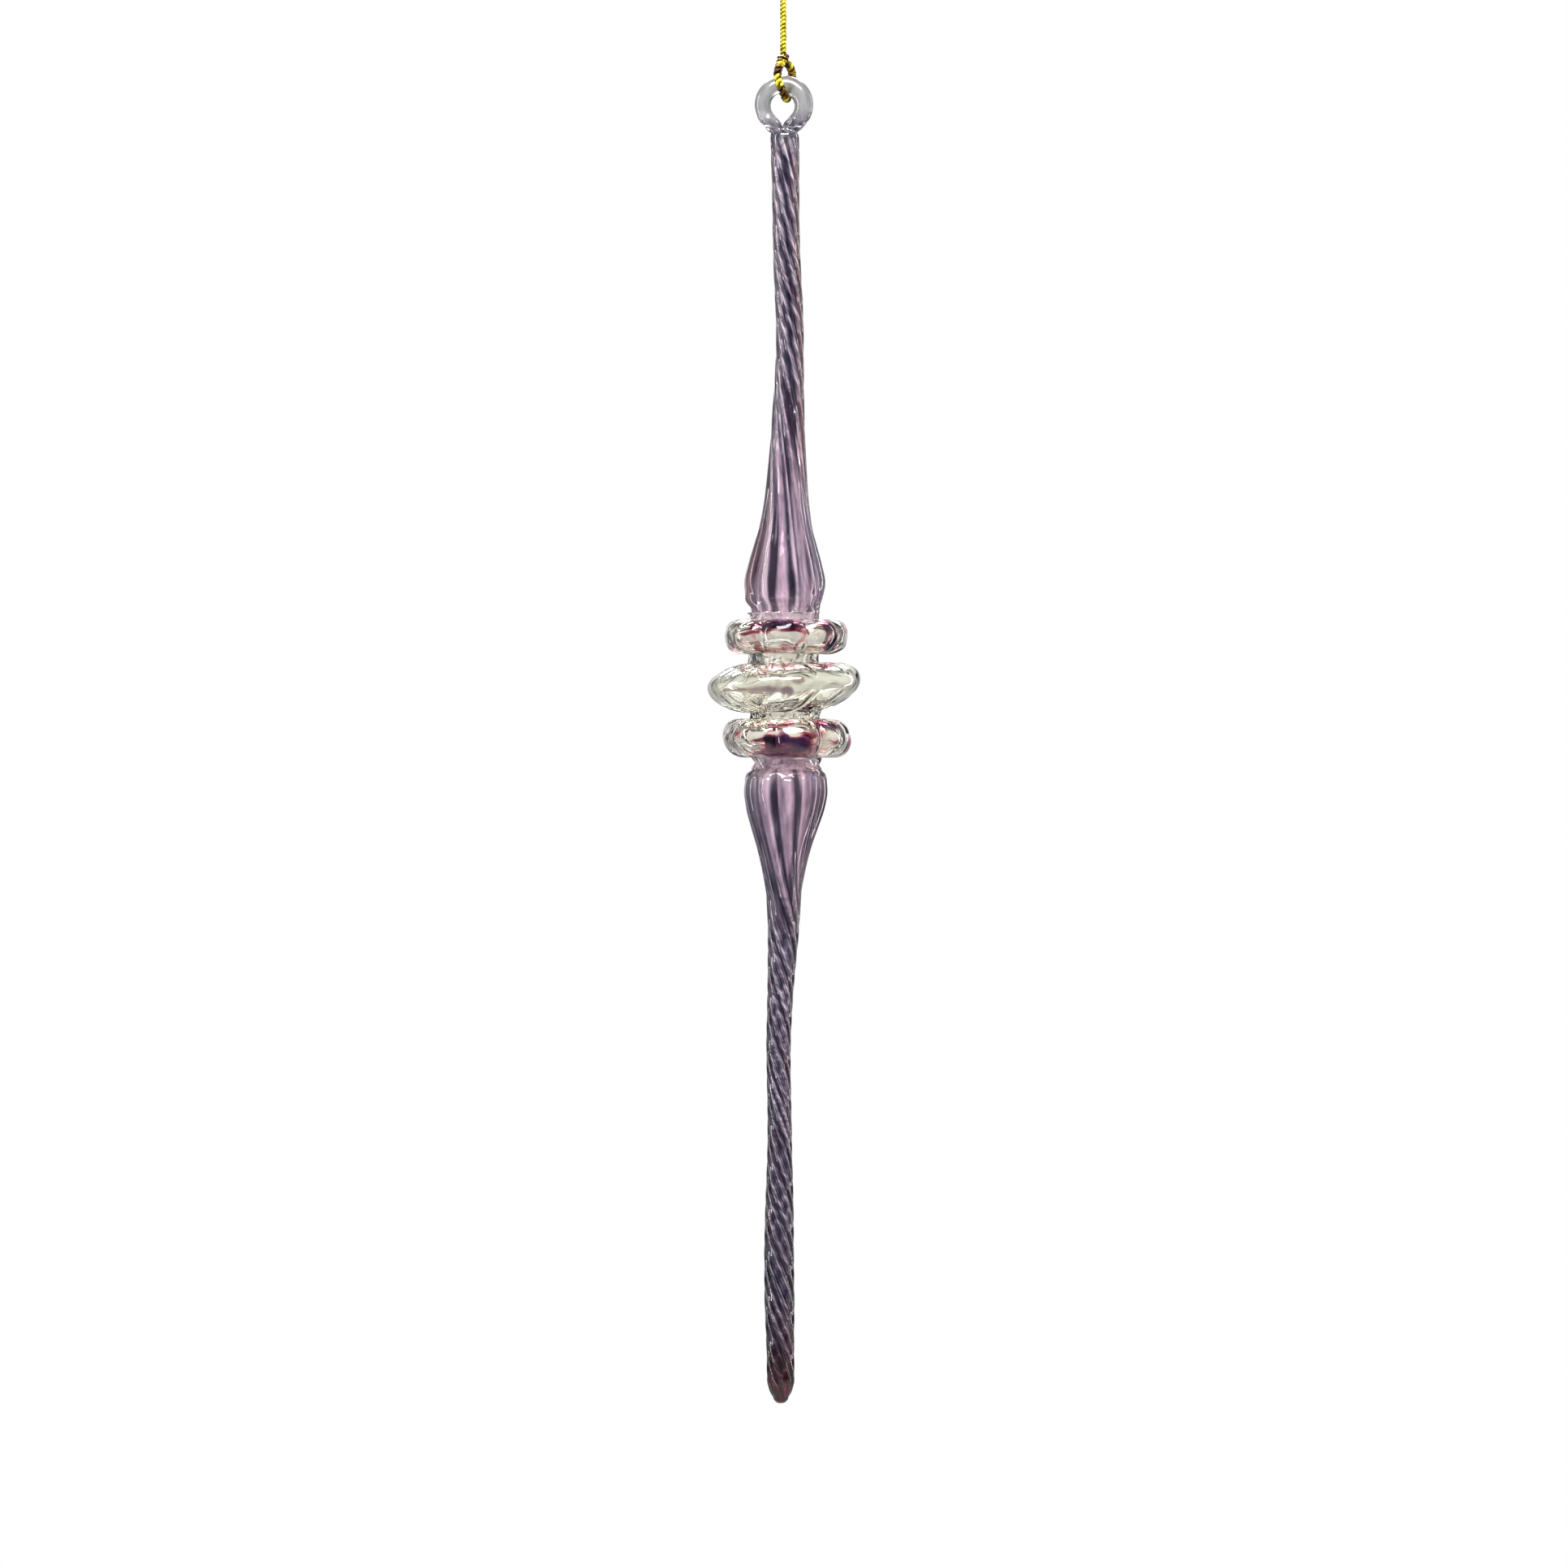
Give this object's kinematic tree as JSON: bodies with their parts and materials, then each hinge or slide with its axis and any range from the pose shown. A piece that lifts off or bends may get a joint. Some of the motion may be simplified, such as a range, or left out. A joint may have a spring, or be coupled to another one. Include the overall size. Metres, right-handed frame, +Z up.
{
  "type": "icicle hanging ornament",
  "caption": "Slender twisted glass icicle drop with pinched glass rings at its middle, hung by a glass eye from a gold cord with a hanging loop.",
  "frame": {"origin": "inner top of the cord's hanging loop, where a hook or a bough carries it", "axes": "+Z up along the hanging line, +X to the right across the flat of the glass eye, +Y through the eye's hole to the back"},
  "size_m": [0.022, 0.0206, 0.249],
  "materials": {
    "gold_cord": "metallic gold braid",
    "clear_glass": "clear, fire polished",
    "amethyst_glass": "amethyst, ribbed and twisted",
    "banded_glass": "clear banded with amethyst",
    "red_glass": "red amethyst, fire polished"
  },
  "bodies": {
    "cord": {"hang_loop": "gold_cord", "loop_knot": "gold_cord", "hang_cord": "gold_cord"},
    "knot": {"tie_knot": "gold_cord"},
    "tied_eye": {"cord_eye": "gold_cord"},
    "glass": {"glass_eye": "clear_glass", "eye_weld": "clear_glass", "upper_spindle": "amethyst_glass", "upper_neck": "amethyst_glass", "upper_ring": "banded_glass", "upper_clear_neck": "clear_glass", "centre_ring": "clear_glass", "lower_clear_neck": "clear_glass", "lower_ring": "banded_glass", "lower_neck": "amethyst_glass", "lower_spindle": "amethyst_glass", "sealed_tip": "red_glass"}
  },
  "joints": [
    {"name": "cord_twist", "type": "hinge", "parent": "cord", "child": "knot", "pos_m": [0, 0, -0.0561], "axis": [0, 0, 1], "continuous": true},
    {"name": "side_swing", "type": "hinge", "parent": "knot", "child": "tied_eye", "pos_m": [0, 0, -0.0561], "axis": [0, 1, 0], "range_deg": [-40, 40]},
    {"name": "front_swing", "type": "hinge", "parent": "tied_eye", "child": "glass", "pos_m": [0, 0, -0.05935], "axis": [1, 0, 0], "range_deg": [-60, 60]}
  ]
}
